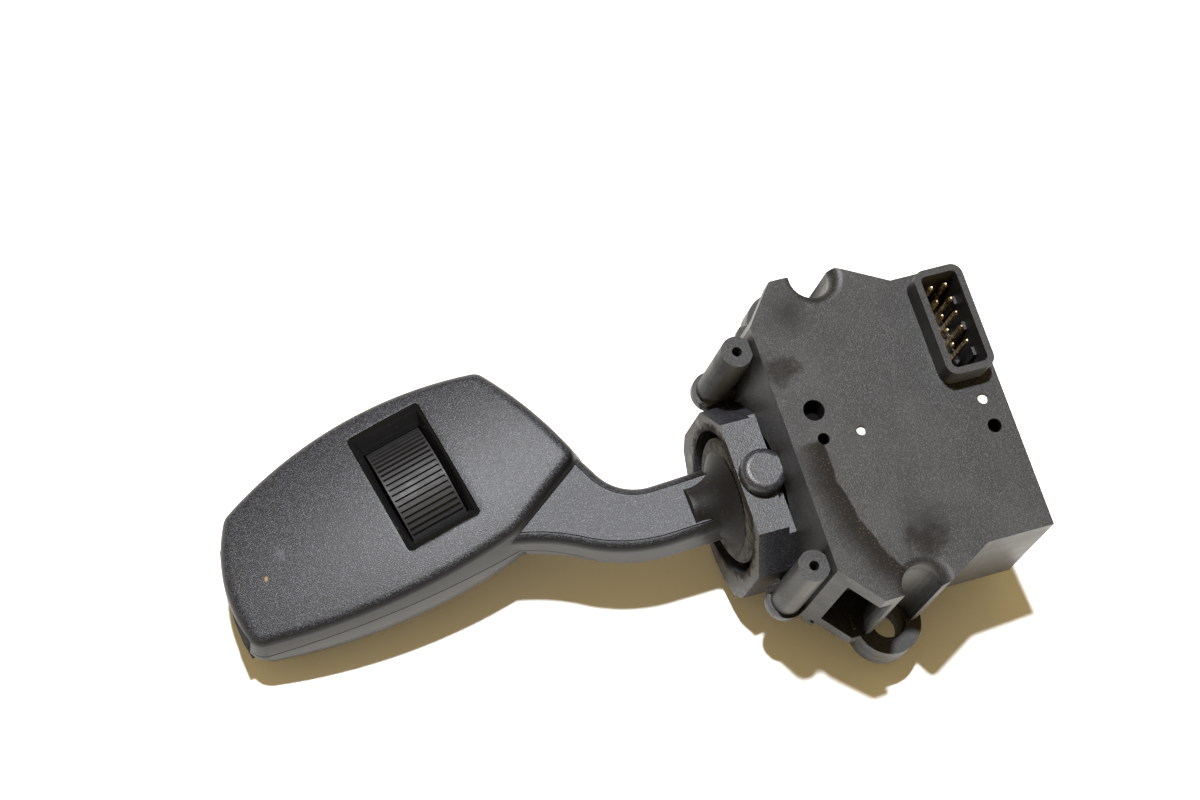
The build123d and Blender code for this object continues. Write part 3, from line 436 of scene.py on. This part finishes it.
def boot_rubber():
    """Dusty rubber with radial streaks."""
    finish = Finish("boot_rubber", (0.028, 0.027, 0.025), 0.85)
    apart = finish.tree.nodes.new("ShaderNodeSeparateXYZ")
    finish.tree.links.new(finish.place, apart.inputs[0])
    level = finish.math("SUBTRACT", apart.outputs["Z"], PIVOT_Z * MM)
    angle = finish.math("ARCTAN2", apart.outputs["Y"], level)
    around = finish.tree.nodes.new("ShaderNodeCombineXYZ")
    finish.tree.links.new(finish.both(angle, 0.010), around.inputs[0])
    across = finish.vector("MULTIPLY", finish.place, (0, 0.2, 0.2))
    streaks = finish.noise(0.5, 4.0, 0.7, finish.vector("ADD", around.outputs[0], across))
    finish.layer(finish.step(streaks, 0.35, 0.65), (0.085, 0.083, 0.077))
    dirt = finish.step(finish.noise(1.5, 4.0, 0.7), 0.50, 0.62)
    finish.layer(finish.both(dirt, 0.8), (0.010, 0.0075, 0.0055))
    finish.bump(streaks, 0.08)
    return finish.done(specular=0.3)


def plain_plastic(name, colour, light, rough, specular=0.5):
    """The button and the hidden pieces: a faint mottle and a fine grain."""
    finish = Finish(name, colour, rough)
    finish.layer(finish.step(finish.noise(1.5, 3.0, 0.6), 0.35, 0.7), light)
    finish.bump(finish.noise(0.4, 2.0, 0.5), 0.006)
    return finish.done(specular=specular)


def metal(name, colour, light, rough):
    """Metal with tarnished patches."""
    finish = Finish(name, colour, rough)
    streaks = finish.noise(0.7, 3.0, 0.6)
    finish.layer(finish.step(streaks, 0.35, 0.65), light, rough + 0.15)
    return finish.done(metallic=1.0)


housing = housing_plastic()
collar = collar_plastic()
lever = paddle_plastic()
natural = plain_plastic("natural_plastic", (0.70, 0.69, 0.65), (0.80, 0.79, 0.76), 0.45)
green = plain_plastic("green_board", (0.02, 0.12, 0.05), (0.03, 0.16, 0.07), 0.32)
chip = plain_plastic("chip_black", (0.012, 0.012, 0.013), (0.03, 0.03, 0.032), 0.55)
amber = plain_plastic("amber_film", (0.40, 0.20, 0.05), (0.50, 0.28, 0.08), 0.25)
gold = metal("pin_gold", (0.42, 0.26, 0.10), (0.95, 0.78, 0.48), 0.36)
steel = metal("bright_steel", (0.55, 0.55, 0.56), (0.72, 0.72, 0.73), 0.25)
button_dark, button_pale = (0.0020, 0.0019, 0.0019), (0.0045, 0.0043, 0.0042)
button = plain_plastic("button_plastic", button_dark, button_pale, 0.62, 0.2)

FINISHES = {
    "housing_shell": housing,
    "housing_cap": housing,
    "base_cover": housing,
    "cover_screws": steel,
    "circuit_board": green,
    "hall_sensors": chip,
    "controller_chip": chip,
    "connector_pins": gold,
    "inner_carrier": natural,
    "bearing_collar": collar,
    "detent_track": natural,
    "gimbal_ring": natural,
    "lever_root": chip,
    "cross_axle": steel,
    "lever_magnet": chip,
    "detent_plunger": natural,
    "detent_spring": steel,
    "lever_shell": lever,
    "neck_inlay": inlay_plastic(),
    "lead_ribbon": amber,
    "dust_boot": boot_rubber(),
    "paddle_lower_shell": lever,
    "wheel_bezel": gloss_plastic("bezel_plastic", 0.28, 1.0),
    "thumb_wheel": gloss_plastic("wheel_plastic", 0.58),
    "wheel_pin": steel,
    "paddle_board": green,
    "wheel_encoder": chip,
    "button_switch": chip,
    "end_button": button,
}
for name, node in nodes.items():
    for slot in node.material_slots:
        slot.material = FINISHES[name]


# ---------------------------------------------------------------- moulded edges
WELD_WITHIN = 0.002  # millimetres
HOUSING_EDGE, LEVER_EDGE, SMALL_EDGE = 0.22, 0.15, 0.10  # millimetres
def soften(name, width_mm, segments=3, limit=38.0):
    """Rounds a CAD node's edges slightly, as its mould does."""
    node = nodes[name]
    weld = node.modifiers.new("weld", "WELD")
    weld.merge_threshold = WELD_WITHIN * MM
    bevel = node.modifiers.new("edge", "BEVEL")
    bevel.width = width_mm * MM
    bevel.segments = segments
    bevel.limit_method = "ANGLE"
    bevel.angle_limit = math.radians(limit)
    bevel.harden_normals = True
    bevel.use_clamp_overlap = True


for name in ("housing_shell", "housing_cap", "base_cover"):
    soften(name, HOUSING_EDGE)
for name in ("lever_shell", "paddle_lower_shell"):
    soften(name, LEVER_EDGE)
soften("wheel_bezel", SMALL_EDGE, 2)
soften("end_button", SMALL_EDGE, 2)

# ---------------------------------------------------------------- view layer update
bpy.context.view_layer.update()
